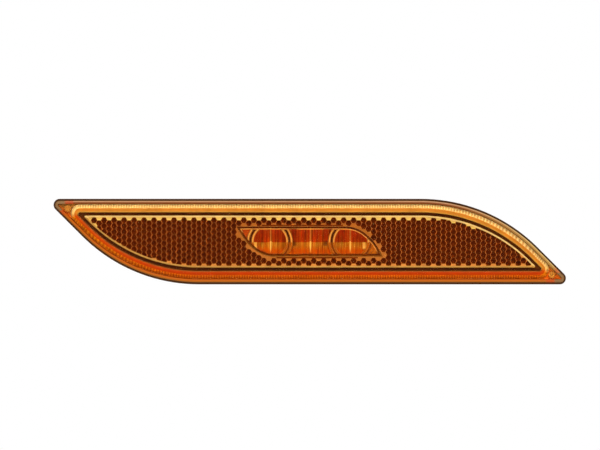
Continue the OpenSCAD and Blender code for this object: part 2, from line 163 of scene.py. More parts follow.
def grained(name, base, worn, roughness, scale, depth, **plain):
    """A finish whose colour, gloss and fine height vary as moulded, cast or stamped stock does."""
    finish, tree, skin = new_finish(name, base, roughness, **plain)
    feed = place(tree, "ShaderNodeGroup", (-500, 100), node_tree=grain)
    for key, value in (("Scale", scale), ("Base", base), ("Worn", worn), ("Roughness", roughness)):
        feed.inputs[key].default_value = value
    tree.links.new(feed.outputs["Color"], skin.inputs["Base Color"])
    tree.links.new(feed.outputs["Roughness"], skin.inputs["Roughness"])
    roughened(tree, skin, feed.outputs["Height"], 0.5, depth)
    return finish


def coat_node(name, finish):
    """Gives a CAD node its finish."""
    node[name].data.materials.clear()
    node[name].data.materials.append(finish)


black = grained("BlackMoulded", rgb(30, 28, 27), rgb(46, 43, 41), 0.42, 2600, 0.00006, Specular_IOR_Level=0.15)
black_tree, black_skin = black.node_tree, black.node_tree.nodes["Principled BSDF"]
# painted light: the front of the black edge round the lens is tinted a dark amber, standing for the amber light
# that the lens throws on it
black_y = split(black_tree, own_place(black_tree, (-1100, 400)), (-900, 400))[1]
lens_glow_band = ranged(black_tree, black_y, EDGE_FOOT_Y, EDGE_FRONT_Y, at=(-700, 400))
grain_tone, grain_rough = (black_skin.inputs[key].links[0].from_socket for key in ("Base Color", "Roughness"))
painted_lens_glow_tone = mixed(black_tree, lens_glow_band, grain_tone, rgb(60, 32, 5), (-200, 400))
edge_rough = chain(black_tree, "MAXIMUM", lens_glow_band, grain_rough, (-300, 550))
black_tree.links.new(painted_lens_glow_tone, black_skin.inputs["Base Color"])
black_tree.links.new(edge_rough, black_skin.inputs["Roughness"])
coat_node("housing", black)

# Gasket: a ring of closed-cell foam, cut to the shape of the flange and stuck on its back. It is
# squeezed flat when the lamp is pressed into the panel.
foam, foam_tree, foam_skin = new_finish("GasketFoam", rgb(34, 34, 36), 0.9)
cells = place(foam_tree, "ShaderNodeTexVoronoi", (-600, 0))
cells.inputs["Scale"].default_value = 1700
foam_tree.links.new(own_place(foam_tree, (-800, 0)), cells.inputs["Vector"])
cell_tone = ranged(foam_tree, cells.outputs["Distance"], 0.0, 1.0, 0.02, 0.05, (-400, 100))
foam_tree.links.new(cell_tone, foam_skin.inputs["Base Color"])
roughened(foam_tree, foam_skin, cells.outputs["Distance"], 1.0, 0.00015)
coat_node("gasket", foam)

# Spring clip: a strip of spring steel, bent and blued slightly by its heat treatment, with
# rolling marks along the strip. It is staked on the back of the housing.
steel, steel_tree, steel_skin = new_finish("SpringSteel", rgb(168, 172, 178), 0.3, Metallic=1.0)
drawn_out = place(steel_tree, "ShaderNodeMapping", (-800, 0))
drawn_out.inputs["Scale"].default_value = (1, 0.02, 0.02)
steel_tree.links.new(own_place(steel_tree), drawn_out.inputs["Vector"])
rolled = cloud(steel_tree, drawn_out.outputs["Vector"], 9000, 2)
steel_tone = mixed(steel_tree, rolled, rgb(120, 124, 134), rgb(196, 198, 200), (-300, 100))
steel_rough = ranged(steel_tree, rolled, 0.0, 1.0, 0.2, 0.42, (-300, -150))
steel_tree.links.new(steel_tone, steel_skin.inputs["Base Color"])
steel_tree.links.new(steel_rough, steel_skin.inputs["Roughness"])
coat_node("spring_clip", steel)

# Vent membrane: a white breathing film, which lets air through and keeps water out. It is a disc
# cut from sheet and welded over the vent hole in the back of the box.
coat_node("vent_membrane", grained("VentFilm", rgb(226, 226, 222), rgb(205, 206, 204), 0.6, 5200, 0.00005))

# Circuit board: glass-fibre sheet with green solder mask over copper tracks, which show as
# slightly paler lines. The two screws hold it on the housing's bosses, behind the reflector.
mask, mask_tree, mask_skin = new_finish("SolderMask", rgb(24, 92, 46), 0.32)
mask_turn = place(mask_tree, "ShaderNodeMapping", (-850, 0))
mask_turn.inputs["Rotation"].default_value = (math.radians(90), 0, 0)
mask_tree.links.new(own_place(mask_tree), mask_turn.inputs["Vector"])
tracks = place(mask_tree, "ShaderNodeTexBrick", (-700, 0))
for key, value in (
    ("Color1", rgb(22, 84, 42)),
    ("Color2", rgb(26, 98, 50)),
    ("Mortar", rgb(52, 128, 70)),
    ("Scale", 260),
    ("Mortar Size", 0.06),
):
    tracks.inputs[key].default_value = value
mask_tree.links.new(mask_turn.outputs["Vector"], tracks.inputs["Vector"])
mask_tree.links.new(tracks.outputs["Color"], mask_skin.inputs["Base Color"])
roughened(mask_tree, mask_skin, tracks.outputs["Fac"], 1.0, 0.00004)
coat_node("circuit_board", mask)

# Parts on the board: dark moulded chips and a bare aluminium can. They are laid on the board's
# back by machine and soldered there.
chip_finish = grained("ChipMoulding", rgb(36, 36, 38), rgb(58, 57, 56), 0.5, 6000, 0.00003)
for name in ("resistor_1", "resistor_2", "resistor_3", "diode", "surge_suppressor"):
    coat_node(name, chip_finish)
can = grained("CapacitorCan", rgb(196, 198, 202), rgb(170, 172, 178), 0.3, 3000, 0.00002, Metallic=1.0)
coat_node("capacitor", can)

# Terminals and screws: tinned bronze blades, stamped and soldered into the board, which reach
# into the connector, and zinc-plated steel screws, driven into the housing's bosses.
tin = grained("TinnedBlade", rgb(214, 208, 196), rgb(180, 170, 150), 0.26, 4200, 0.00002, Metallic=1.0)
for name in ("terminal_positive", "terminal_negative"):
    coat_node(name, tin)
zinc = grained("ZincPlate", rgb(188, 190, 194), rgb(150, 150, 156), 0.3, 3600, 0.00003, Metallic=1.0)
for name in ("screw_left", "screw_right"):
    coat_node(name, zinc)

# Light sources: a white moulded frame with a yellow phosphor window under a clear dome. One is
# soldered on the front of the board for each cup.
phosphor = grained("PhosphorWindow", rgb(244, 214, 110), rgb(236, 228, 190), 0.3, 5000, 0.00002, Coat_Weight=0.6)
for name in ("led_1", "led_2", "led_3"):
    coat_node(name, phosphor)

# Lamp reflector: one moulded piece with three cups and a bright metal film. Each cup has two
# sloping halves that meet in a level crease, crossed by upright flutes, and the round end
# cups are parted from the middle one by a slot between two thin walls.
WINDOW_HALF = 5.4
CORNER_NEAR, CORNER_FAR = 12.1, 20.3
LIGHTS = (-15.3, 0.3, 15.9)
CUP_EDGE, SLOT_NEAR, SLOT_FAR, WALL_FAR = 6.1, 6.95, 7.75, 8.65
CUP_RIM, CUP_FLOOR, CUP_SLOPE, CUP_CROWN = -6.6, 1.5, 7.4, 0.05
CUP_FLUTE, FLUTE_HEIGHT, CREASE_Z = 1.3, 0.14, -0.3
SLOT_DEPTH, WING_DEPTH = 0.9, 1.6
CUPS_LONG, CUPS_HIGH = 57, 9.8


def way_at(degrees):
    """The way that an angle points, anticlockwise from +X."""
    return Vector((math.cos(math.radians(degrees)), math.sin(math.radians(degrees))))


def window(e):
    """The lamp window's outline at an inset of e millimetres: x, z and the way it faces."""
    first = Vector((-13.9, CORNER_NEAR - WINDOW_HALF))
    second = first - (CORNER_FAR - CORNER_NEAR) * way_at(232)
    half = []
    for centre, radius, start, end, steps in (
        (first, CORNER_NEAR - e, 270, 232, 24),
        (second, CORNER_FAR - e, 230, 210, 14),
    ):
        for i in range(steps + 1):
            way = way_at(start + (end - start) * i / steps)
            half.append((*(centre + radius * way), *way))
    rise = (WINDOW_HALF - e - half[-1][1]) / math.cos(math.radians(30))
    half.append((half[-1][0] - rise * 0.5, WINDOW_HALF - e, -0.5, 0.87))
    return half + [(-x, -z, -nx, -nz) for x, z, nx, nz in half]


def inside(x, z, outline):
    """True if a place lies within a clockwise outline."""
    for a, b in zip(outline[-1:] + outline[:-1], outline):
        if (b[0] - a[0]) * (z - a[1]) - (b[1] - a[1]) * (x - a[0]) > 0:
            return False
    return True


def middle_inside(face, outline):
    """True if the middle of a face lies within a clockwise outline."""
    middle = 1000 * face.calc_center_median()
    return inside(middle.x, middle.z, outline)


def sweep(bm, sections, slots=()):
    """Extrudes a closed loop through sections of points, depth and inset, in millimetres. Every
    vertex keeps its inset, the height of the way its outline faces, and how deep it lies in a
    flute, for the materials."""
    layers = bm.verts.layers
    order = layers.int.get("order") or layers.int.new("order")
    inset = layers.float.get("inset") or layers.float.new("inset")
    lift = layers.float.get("lift") or layers.float.new("lift")
    valley = layers.float.get("valley") or layers.float.new("valley")
    verts = [bm.verts.new() for _ in sections[0][0]]
    for i, v in enumerate(verts):
        v[order] = i
    edges = [bm.edges.new((verts[i - 1], verts[i])) for i in range(len(verts))]
    loops = []
    for k, (points, depth, d) in enumerate(sections):
        if k:
            made = bmesh.ops.extrude_edge_only(bm, edges=edges)["geom"]
            verts = [g for g in made if isinstance(g, bmesh.types.BMVert)]
            fresh = set(verts)
            edges = [g for g in made if isinstance(g, bmesh.types.BMEdge) and fresh.issuperset(g.verts)]
            for g in made:
                if isinstance(g, bmesh.types.BMFace) and len(slots) >= k:
                    g.material_index = slots[k - 1]
        for v in verts:
            x, z, nx, nz, *flute = points[v[order]]
            v.co = (x / 1000, depth / 1000, z / 1000)
            v[inset] = d
            v[lift] = nz
            v[valley] = flute[0] if flute else 0
        loops.append(edges)
    return loops


def close_behind(bm, depth, slot):
    """Gives an open sheet its sides and a flat back, at a depth in millimetres."""
    made = bmesh.ops.extrude_edge_only(bm, edges=[e for e in bm.edges if e.is_boundary])["geom"]
    fresh = {g for g in made if isinstance(g, bmesh.types.BMVert)}
    for v in fresh:
        v.co.y = depth / 1000
    foot = [g for g in made if isinstance(g, bmesh.types.BMEdge) and fresh.issuperset(g.verts)]
    for g in made + bmesh.ops.triangle_fill(bm, use_beauty=True, edges=foot)["geom"]:
        if isinstance(g, bmesh.types.BMFace):
            g.material_index = slot


def finish_piece(bm, name, replaced, finishes, smooth_below=35):
    """Turns the faces out, shades them, and puts the piece in place of the CAD node it stands for."""
    bmesh.ops.remove_doubles(bm, verts=bm.verts, dist=1e-6)
    bmesh.ops.recalc_face_normals(bm, faces=bm.faces)
    for f in bm.faces:
        f.smooth = True
    for e in bm.edges:
        e.smooth = len(e.link_faces) == 2 and e.calc_face_angle(0) < math.radians(smooth_below)
    mesh = bpy.data.meshes.new(name)
    bm.to_mesh(mesh)
    bm.free()
    piece = bpy.data.objects.new(name, mesh)
    bpy.context.scene.collection.objects.link(piece)
    for finish in finishes:
        mesh.materials.append(finish)
    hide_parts(*replaced)
    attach(piece, "root")
    return piece


def reach(x, z, centre):
    """Distance from the middle of an end cup, whose outer side is drawn out a little."""
    return math.hypot((x - centre) * (0.93 if abs(x) > abs(centre) else 1), z)


def cup_at(x, z):
    """Depth of the reflector at a place, and which part it is: cup 0, wall 1, slot 2 or wing 3."""
    near = [reach(x, z, LIGHTS[i]) for i in (0, 2)]
    if min(near) < CUP_EDGE:
        centre = LIGHTS[0] if near[0] < near[1] else LIGHTS[2]
    elif min(near) < SLOT_NEAR or SLOT_FAR < min(near) < WALL_FAR:
        return CUP_RIM, 1.0
    elif min(near) < SLOT_FAR:
        return CUP_RIM + SLOT_DEPTH, 2.0
    elif LIGHTS[0] < x < LIGHTS[2]:
        centre = LIGHTS[1]
    else:
        return CUP_RIM + WING_DEPTH, 3.0
    u, t = x - centre, abs(z - CREASE_Z) / WINDOW_HALF
    flute = FLUTE_HEIGHT * math.sin(math.pi * ((u / CUP_FLUTE) % 1))
    return CUP_FLOOR - CUP_SLOPE * (0.35 * t + 0.65 * t * t) - CUP_CROWN * u * u + flute, 0.0


def carried(tree, name, at):
    """A number that the mesh carries on its vertices."""
    return place(tree, "ShaderNodeAttribute", at, attribute_name=name).outputs["Fac"]


amber, a_in, a_out = new_group(
    "AmberRun",
    {"Above": "Color", "Below": "Color", "Fluting": "Float", "Slant": "Float"},
    {"Color": "Color", "Height": "Float"},
)
a_lift = carried(amber, "lift", (-900, 300))
a_flow = cloud(amber, own_place(amber, (-900, -300)), 240, 4, (-700, -300))
# painted light and shade: runs whose outline faces up take the Above colour, and those that face down take the
# Below colour
a_side = ranged(amber, a_lift, -0.45, 0.45, at=(-600, 300))
a_lit_and_shaded = mixed(amber, a_side, a_in.outputs["Below"], a_in.outputs["Above"], (-300, 100))
a_cloud = ranged(amber, a_flow, 0.3, 0.7, 0.0, 0.22, at=(-500, -300))
a_deep = mixed(amber, a_cloud, a_lit_and_shaded, (0.12, 0.03, 0.005, 1), (0, 0))
# painted shade: the valleys of the flutes are darkened
a_valley = carried(amber, "valley", (-600, 500))
a_shade = chain(amber, "MULTIPLY", a_valley, a_in.outputs["Fluting"], (-300, 500))
a_fluted = mixed(amber, a_shade, a_deep, (0.6, 0.3, 0.12, 1), (150, 100), "MULTIPLY")
# painted light: on the slanted sides the runs that face down are turned from red to orange
a_steep = chain(amber, "ABSOLUTE", a_lift, at=(-700, 700))
a_tilt = ranged(amber, a_steep, 0.99, 0.75, 0.0, 1.0, (-500, 700))
a_down = chain(amber, "MULTIPLY", chain(amber, "SUBTRACT", 1.0, a_side, (-500, 850)), a_tilt, (-300, 800))
a_amount = chain(amber, "MULTIPLY", a_down, a_in.outputs["Slant"], (-100, 700))
a_slanted = mixed(amber, a_amount, a_fluted, (1.08, 1.5, 1.4, 1), (200, 300), "MULTIPLY")
amber.links.new(a_slanted, a_out.inputs["Color"])
amber.links.new(a_flow, a_out.inputs["Height"])


def amber_run(name, above, below, roughness, fluting=0.0, slant=0.0, **plain):
    """Amber plastic with painted light and shade: paler on the runs that face up and redder on those that face
    down.
    """
    above, below = (*above, 1), (*below, 1)
    finish, tree, skin = new_finish(name, above, roughness, **plain)
    feed = place(tree, "ShaderNodeGroup", (-500, 100), node_tree=amber)
    for key, value in (("Above", above), ("Below", below), ("Fluting", fluting), ("Slant", slant)):
        feed.inputs[key].default_value = value
    tree.links.new(feed.outputs["Color"], skin.inputs["Base Color"])
    roughened(tree, skin, feed.outputs["Height"], 0.3, 0.00002)
    return finish


# painted light: the film's tones below stand for the light, shade and reflections on the bright metal film
film, film_tree, film_skin = new_finish(
    "CupFilm", rgb(240, 180, 110), 0.35, Metallic=0.2, Specular_IOR_Level=0.15
)
film_at = own_place(film_tree, (-1700, 0))
film_x, _, film_z = split(film_tree, film_at, (-1500, 0))


def film_math(operation, a, b=None, at=(-1000, 0)):
    """One Math node in the film's tree."""
    return chain(film_tree, operation, a, b, at)


def film_range(value, low, high, to_low=0.0, to_high=1.0, at=(-900, 0)):
    """One Map Range node in the film's tree."""
    return ranged(film_tree, value, low, high, to_low, to_high, at)


def film_mix(factor, a, b, at=(-400, 0)):
    """One colour Mix node in the film's tree."""
    return mixed(film_tree, factor, a, b, at)


def painted_flute_glints(width, low, high, at):
    """Noise drawn out along Z for painted reflections: uneven upright streaks standing for the bright lines that
    the cup's flutes throw.
    """
    drawn = place(film_tree, "ShaderNodeMapping", (at[0] - 400, at[1]))
    drawn.inputs["Scale"].default_value = (1, 0.02, 0.04)
    film_tree.links.new(film_at, drawn.inputs["Vector"])
    lines = cloud(film_tree, drawn.outputs["Vector"], 1000 / width, 2, (at[0] - 200, at[1]))
    return film_range(lines, low, high, at=at)


broad = painted_flute_glints(1.2, 0.38, 0.62, (-1100, -300))
fine = painted_flute_glints(0.4, 0.48, 0.66, (-1100, -500))
dusk = painted_flute_glints(0.6, 0.47, 0.66, (-1100, -700))
upper = film_range(film_z, -0.0004, -0.0002, at=(-1100, 100))
near_crease = film_range(film_z, -0.0034, -0.0014, at=(-1100, 300))
high_up = film_range(film_z, 0.0003, 0.0045, at=(-1100, 500))
# painted shade: the upper half, which faces down, is brown and red, with orange streaks and a few dark ones
top = film_mix(high_up, (0.22, 0.032, 0.001, 1), (0.34, 0.013, 0.0008, 1), (-900, 500))
top = film_mix(broad, top, (0.55, 0.055, 0.002, 1), (-800, 300))
top = film_mix(film_math("MULTIPLY", fine, 0.5, (-900, 200)), top, (0.52, 0.17, 0.014, 1), (-700, 300))
top = film_mix(film_math("MULTIPLY", dusk, 0.8, (-900, 100)), top, (0.10, 0.006, 0.0006, 1), (-600, 300))
# painted light: the lower half, which faces up, is orange, and golden next to the crease as a painted highlight
low = film_mix(near_crease, (0.50, 0.082, 0.0015, 1), (0.25, 0.13, 0.010, 1), (-800, 0))
low = film_mix(film_math("MULTIPLY", broad, 0.7, (-900, 0)), low, (0.62, 0.16, 0.004, 1), (-700, 0))
low = film_mix(film_math("MULTIPLY", fine, near_crease, (-900, -100)), low, (0.70, 0.44, 0.09, 1), (-600, 0))
low = film_mix(film_math("MULTIPLY", dusk, 0.75, (-900, -200)), low, (0.20, 0.035, 0.002, 1), (-500, 0))
halves = film_mix(upper, low, top, (-400, 100))
# painted highlight: a bright upright line on each cup, in line with its light source
from_light = film_math("SUBTRACT", film_x, 0.0003, (-1200, 700))
from_light = film_math("PINGPONG", from_light, 0.0078, (-1100, 700))
on_line = film_range(from_light, 0.00014, 0.0004, 1.0, 0.0, (-900, 700))
line_low = film_range(film_z, -0.0046, -0.0022, at=(-900, 850))
line_top = film_range(film_z, 0.0, 0.0002, 1.0, 0.3, (-900, 1000))
line_span = film_math("MULTIPLY", line_low, line_top, (-700, 850))
line = film_math("MULTIPLY", on_line, line_span, (-500, 700))
# painted highlight: one more bright patch on each end cup's outer side, just below the crease
out_x = film_math("ABSOLUTE", film_x, at=(-1200, 1200))
out_there = film_math("COMPARE", out_x, 0.0213, (-1100, 1200))
out_there.node.inputs[2].default_value = 0.0006
patch_low = film_range(film_z, -0.0031, -0.0024, at=(-900, 1200))
patch_top = film_range(film_z, -0.0004, -0.0002, 1.0, 0.0, (-900, 1350))
patch_span = film_math("MULTIPLY", patch_low, patch_top, (-700, 1300))
patch = film_math("MULTIPLY", out_there, patch_span, (-600, 1200))
bright = film_math("MAXIMUM", patch, line, (-400, 900))
# the crease is in shade next to the walls
from_cup = film_math("SUBTRACT", out_x, CUP_EDGE / 1000, (-1200, 1500))
from_cup = film_math("ABSOLUTE", from_cup, at=(-1100, 1500))
by_wall = film_range(from_cup, 0.0006, 0.0012, 0.75, 0.0, (-900, 1500))
from_crease = film_math("ABSOLUTE", film_math("ADD", film_z, 0.0006, (-1200, 1650)), at=(-1100, 1650))
by_crease = film_range(from_crease, 0.0007, 0.0013, 1.0, 0.0, (-900, 1650))
in_shade = film_math("MULTIPLY", by_wall, by_crease, (-700, 1500))
shaded = film_mix(in_shade, halves, (0.12, 0.03, 0.003, 1), (-400, 500))
lit = film_mix(bright, shaded, (0.95, 0.70, 0.28, 1), (-300, 300))
# walls, slot and wings have their own tones: painted highlights along the crests of the walls' upper halves, and
# painted shade that makes the slot and wings darker above the crease than below
film_part = carried(film_tree, "part", (-1100, -900))
across_wall = film_math("SUBTRACT", carried(film_tree, "reach", (-1300, -600)), 0.0065, (-1200, -600))
across_wall = film_math("PINGPONG", across_wall, 0.00085, (-1100, -600))
wall_crest_glint = film_range(across_wall, 0.0001, 0.0004, 1.0, 0.0, (-900, -600))
wall_up = film_mix(wall_crest_glint, (0.19, 0.06, 0.008, 1), (0.50, 0.26, 0.11, 1), (-800, -550))
wall_tone = film_mix(upper, (0.27, 0.075, 0.004, 1), wall_up, (-700, -500))
slot_tone = film_mix(upper, (0.19, 0.045, 0.002, 1), (0.06, 0.012, 0.001, 1), (-300, -600))
wing_tone = film_mix(upper, (0.48, 0.15, 0.01, 1), (0.38, 0.055, 0.004, 1), (-700, -700))
cup_tone = lit
for part, tone in ((1.0, wall_tone), (2.0, slot_tone), (3.0, wing_tone)):
    on_part = film_math("COMPARE", film_part, part, (-900, -750 - 150 * part))
    cup_tone = film_mix(on_part, cup_tone, tone, (100 * part - 300, -300))
film_tree.links.new(cup_tone, film_skin.inputs["Base Color"])

bm = bmesh.new()
part_layer = bm.verts.layers.float.new("part")
reach_layer = bm.verts.layers.float.new("reach")
bmesh.ops.create_grid(bm, x_segments=570, y_segments=94, size=0.5)
for v in bm.verts:
    x, z = v.co.x * CUPS_LONG, v.co.y * CUPS_HIGH
    depth, part = cup_at(x, z)
    v.co = (x / 1000, depth / 1000, z / 1000)
    v[part_layer] = part
    v[reach_layer] = min(reach(x, z, LIGHTS[i]) for i in (0, 2)) / 1000
fence = window(0.5)
bmesh.ops.delete(bm, geom=[f for f in bm.faces if not middle_inside(f, fence)], context="FACES")
close_behind(bm, 2.2, 1)
wall = [(0.65, 0.5), (0.65, CUP_RIM), (0.35, CUP_RIM), (0.35, 2.4), (0.65, 2.4), (0.65, 0.5)]
sweep(bm, [(window(e), y, e) for e, y in wall], [1] * 5)
base = Matrix.Translation((0, 0.00265, 0)) @ Matrix.Diagonal((0.058, 0.0015, 0.0138, 1))
bmesh.ops.create_cube(bm, size=1, matrix=base)
# painted light and shade: the reflector's walls are pale on the runs that face up and dark on those that face
# down
walls = amber_run("CupWall", (0.70, 0.31, 0.12), (0.13, 0.025, 0.002), 0.3, Specular_IOR_Level=0.1)
finish_piece(bm, "CupReflector", ["lamp_reflector"], [film, walls])

# Reflex pad: a clear amber plate with a raised rim. Its back is a honeycomb of corner cubes,
# each three square faces, and they are seen here through the plate as six-sided pits. Their
# dark is a painted reflection, the dark that corner cubes send back, and their pale borders
# are painted highlights. The plate stays plain where a whole cell has no room.
LONG, HIGH, SWEEP, NOSE = 200.0, 33.4, 64.4, 2.4
HALF_ROOT = math.sqrt(0.5)
COT = 1 / math.tan(math.radians(22.5))
SWEEP_X = LONG / 2 + NOSE * (COT - 1) - SWEEP * HALF_ROOT - (HIGH - SWEEP * (1 - HALF_ROOT))
CELL = 1.299
PAD_FRONT, PAD_BACK = -6.9, -4.7
PIT_DEPTH, LOW_CORNER, HIGH_CORNER, BORDER_STEP = 1.87, 0.9, 0.2, 0.05


def outline(d, nose=None, steps=(40, 8, 20, 30)):
    """The lamp's outline at an inset of d millimetres: x, z and the way it faces."""
    t = max(NOSE - d, 0.4) if nose is None else nose
    r = min(SWEEP - 0.61 * d, (HIGH - 2 * d - t * (1 + HALF_ROOT) - 0.1) / (1 - HALF_ROOT))
    sharp = SWEEP_X + r * HALF_ROOT + HIGH - 2 * d - r * (1 - HALF_ROOT)
    half = []
    for cx, cz, radius, start, end, n in (
        (SWEEP_X, HIGH / 2 - d - r, r, 90, 45, steps[0]),
        (sharp - t * COT, d - HIGH / 2 + t, t, 45, -90, steps[2]),
    ):
        for i in range(n + 1):
            a = math.radians(start + (end - start) * i / n)
            half.append((cx + radius * math.cos(a), cz + radius * math.sin(a), math.cos(a), math.sin(a)))

    def run(a, b, n):
        steps_along = (i / n for i in range(1, n))
        return [(a[0] + (b[0] - a[0]) * s, a[1] + (b[1] - a[1]) * s, a[2], a[3]) for s in steps_along]

    n = steps[0] + 1
    half = half[:n] + run(half[n - 1], half[n], steps[1]) + half[n:]
    half += run(half[-1], (-half[0][0], -half[0][1]), steps[3])
    return half + [(-x, -z, -nx, -nz) for x, z, nx, nz in half]


bm = bmesh.new()
lift = bm.verts.layers.float.new("lift")
turned = Matrix.Rotation(math.radians(90), 4, "X") @ Matrix.Rotation(math.radians(30), 4, "Z")
bmesh.ops.create_circle(bm, cap_ends=True, segments=6, radius=CELL / 1000, matrix=turned)
bm.faces.ensure_lookup_table()
pit = bm.faces[0]
for width, is_line in ((0.00006, True), (0.0001, False)):
    border = bmesh.ops.inset_individual(bm, faces=[pit], thickness=width, use_even_offset=True)["faces"]
    for f in border:
        level = abs(f.calc_center_median().x) < 0.0003
        f.material_index = (2 if level else 1) if is_line else 3
pit.material_index = 3
bmesh.ops.poke(bm, faces=[pit])
for v in bm.verts:
    r = v.co.length * 1000
    turn = round(math.degrees(math.atan2(v.co.z, v.co.x)) / 60) % 2
    if r < 0.1:
        sunk = PIT_DEPTH
    elif r > 1.2:
        sunk = 0 if r > 1.25 else BORDER_STEP
    else:
        sunk = LOW_CORNER if turn else HIGH_CORNER
    v.co.y = (PAD_FRONT + sunk) / 1000
cell = bm.verts[:] + bm.edges[:] + bm.faces[:]
plain = bmesh.ops.create_circle(bm, cap_ends=True, segments=6, radius=CELL / 1000, matrix=turned)["verts"]
for v in plain:
    v.co.y = PAD_FRONT / 1000
plain_edges = {e for v in plain for e in v.link_edges}
blank = plain + list(plain_edges) + list({f for v in plain for f in v.link_faces})
fence = outline(7.1)
kept_out = window(-0.5)
for i in range(-48, 49):
    for k in range(-6, 7):
        x, z = 1.56 + 1.5 * CELL * i, -0.72 + 1.125 * (2 * k + abs(i % 2))
        ways = [way_at(60 * c) for c in range(6)]
        corners = [(x + 0.7 * CELL * way.x, z + 0.7 * CELL * way.y) for way in ways]
        clear = not inside(x, z, kept_out) and not any(inside(*c, kept_out) for c in corners)
        room = clear and abs(z) < HIGH / 2 - 7.5 and inside(x, z, fence)
        copied = bmesh.ops.duplicate(bm, geom=cell if room else blank)["geom"]
        moved = [g for g in copied if isinstance(g, bmesh.types.BMVert)]
        bmesh.ops.translate(bm, verts=moved, vec=(x / 1000, 0, z / 1000))
bmesh.ops.delete(bm, geom=[g for g in cell + blank if isinstance(g, bmesh.types.BMVert)], context="VERTS")
bmesh.ops.remove_doubles(bm, verts=bm.verts, dist=0.00002)


def cut_along(points, near, clear):
    """Cuts the honeycomb along a clockwise outline, and clears what lies outside it if asked."""
    for a, b in zip(points[-1:] + points[:-1], points):
        if math.hypot(b[0] - a[0], b[1] - a[1]) > 0.01:
            geom = [g for g in bm.verts[:] + bm.edges[:] + bm.faces[:] if near(g)]
            at = (a[0] / 1000, 0, a[1] / 1000)
            way = Vector((a[1] - b[1], 0, b[0] - a[0]))
            bmesh.ops.bisect_plane(bm, geom=geom, dist=1e-7, plane_co=at, plane_no=way, clear_outer=clear)


def by_window(g):
    """True for a vertex, edge or face that lies round the window."""
    return all(abs(v.co.x) < 0.032 for v in (g.verts if hasattr(g, "verts") else [g]))


cut_along(outline(7.0, None, (12, 1, 5, 1)), lambda g: True, True)
opening = [p for i, p in enumerate(window(-0.3)) if i % 41 in (0, 6, 12, 18, 24, 29, 34, 39, 40)]
cut_along(opening, by_window, False)
bmesh.ops.delete(bm, geom=[f for f in bm.faces if middle_inside(f, opening)], context="FACES")
close_behind(bm, PAD_BACK, 0)
# painted shade: the plate round the window, where the collar shades it, takes a dark finish
window_shade_zone = window(-1.9)
for f in bm.faces:
    if f.material_index == 0 and middle_inside(f, window_shade_zone):
        f.material_index = 5
# painted light: the pad runs from its Below colours at the bottom to its Above colours at the top, as if lit
# from above
for v in bm.verts:
    v[lift] = v.co.z * 90
rim = [
    (7.3, -6.8), (7.3, -7.05), (7.22, -7.22), (7.05, -7.3), (6.85, -7.3),
    (6.68, -7.22), (6.6, -7.05), (6.6, -4.5), (7.3, -4.5), (7.3, -6.8),
]
sweep(bm, [(outline(d), y, d) for d, y in rim], [4] * 9)
# painted shade: the collar round the window is nearly black, darkest on its top run
collar = [
    (-0.62, -6.8), (-0.62, -7.0), (-0.46, -7.06), (-0.08, -7.06),
    (0.0, -6.98), (0.0, -4.2), (-0.62, -4.2), (-0.62, -6.8),
]
sweep(bm, [(window(e), y, e) for e, y in collar], [6, 5, 6, 6, 6, 6, 6])
# painted shadow: a dark bar, in the pits' dark finish, lies along each straight side of the window where shade
# falls
for side in (-1, 1):
    middle = (side * 0.0029, PAD_FRONT / 1000, -side * 0.00627)
    bar = Matrix.Translation(middle) @ Matrix.Diagonal((0.0318, 0.0002, 0.0005, 1))
    for v in bmesh.ops.create_cube(bm, size=1, matrix=bar)["verts"]:
        for f in v.link_faces:
            f.material_index = 3
# painted light: plate, rim and collar take one colour on the top runs and another below; the pale borders are
# painted highlights, fainter on the level sides, and the dark pits a painted reflection
pad_finishes = [
    amber_run("PadPlate", (0.52, 0.45, 0.26), (0.42, 0.21, 0.10), 0.3, Specular_IOR_Level=0.1),
    amber_run("CellBorder", (0.60, 0.20, 0.09), (0.60, 0.20, 0.09), 0.3, Specular_IOR_Level=0.0),
    amber_run("CellBorderLevel", (0.15, 0.047, 0.018), (0.14, 0.044, 0.016), 0.3, Specular_IOR_Level=0.0),
    amber_run("CellPit", (0.082, 0.014, 0.0006), (0.082, 0.014, 0.0006), 0.25, Specular_IOR_Level=0.0),
    amber_run("PadRim", (0.64, 0.56, 0.46), (0.42, 0.28, 0.14), 0.25),
    amber_run("PadWindowShade", (0.24, 0.085, 0.02), (0.29, 0.115, 0.04), 0.3, Specular_IOR_Level=0.2),
    amber_run("WindowCollar", (0.05, 0.01, 0.001), (0.15, 0.055, 0.012), 0.3, Specular_IOR_Level=0.1),
]
finish_piece(bm, "ReflexPad", ["reflex_reflector"], pad_finishes, 20)

# Trim ring: a frame of clear amber moulding laid round the pad. Its outer slope carries fine
# upright flutes that scatter light along the edge, and its front face is plain.
FLUTE_PITCH, FLUTE_DEPTH = 1.0, 0.28
RING_STEPS = (400, 90, 104, 1050)


def ring_line(d):
    """The ring's outline, whose tips are rounder than the lamp's."""
    return outline(d, 3.75 - 0.95 * (d - 2.1), RING_STEPS)


def ring_sole(d):
    """The outline of the ring's sole, which fills the lamp's tips."""
    return outline(d, None, RING_STEPS)


def fluted(d):
    """The ring's outline at an inset of d millimetres, drawn in by a row of half-round flutes
    that run straight across the slope. The tips stay plain."""
    points, rise = ring_line(d), HIGH / 2 - d - (SWEEP - 0.61 * d)
    out = []
    for i, (x, z, nx, nz) in enumerate(points):
        side = 1 if i < len(points) / 2 else -1
        turn = math.degrees(math.atan2(side * nx, side * nz))
        along = x * nz - z * nx + rise * side * nx + SWEEP * math.radians(min(turn, 45))
        wave = 0.5 if 45.5 < turn < 179.5 else abs(math.cos(math.pi * along / FLUTE_PITCH))
        out.append((x - FLUTE_DEPTH * wave * nx, z - FLUTE_DEPTH * wave * nz, nx, nz, wave ** 2))
    return out


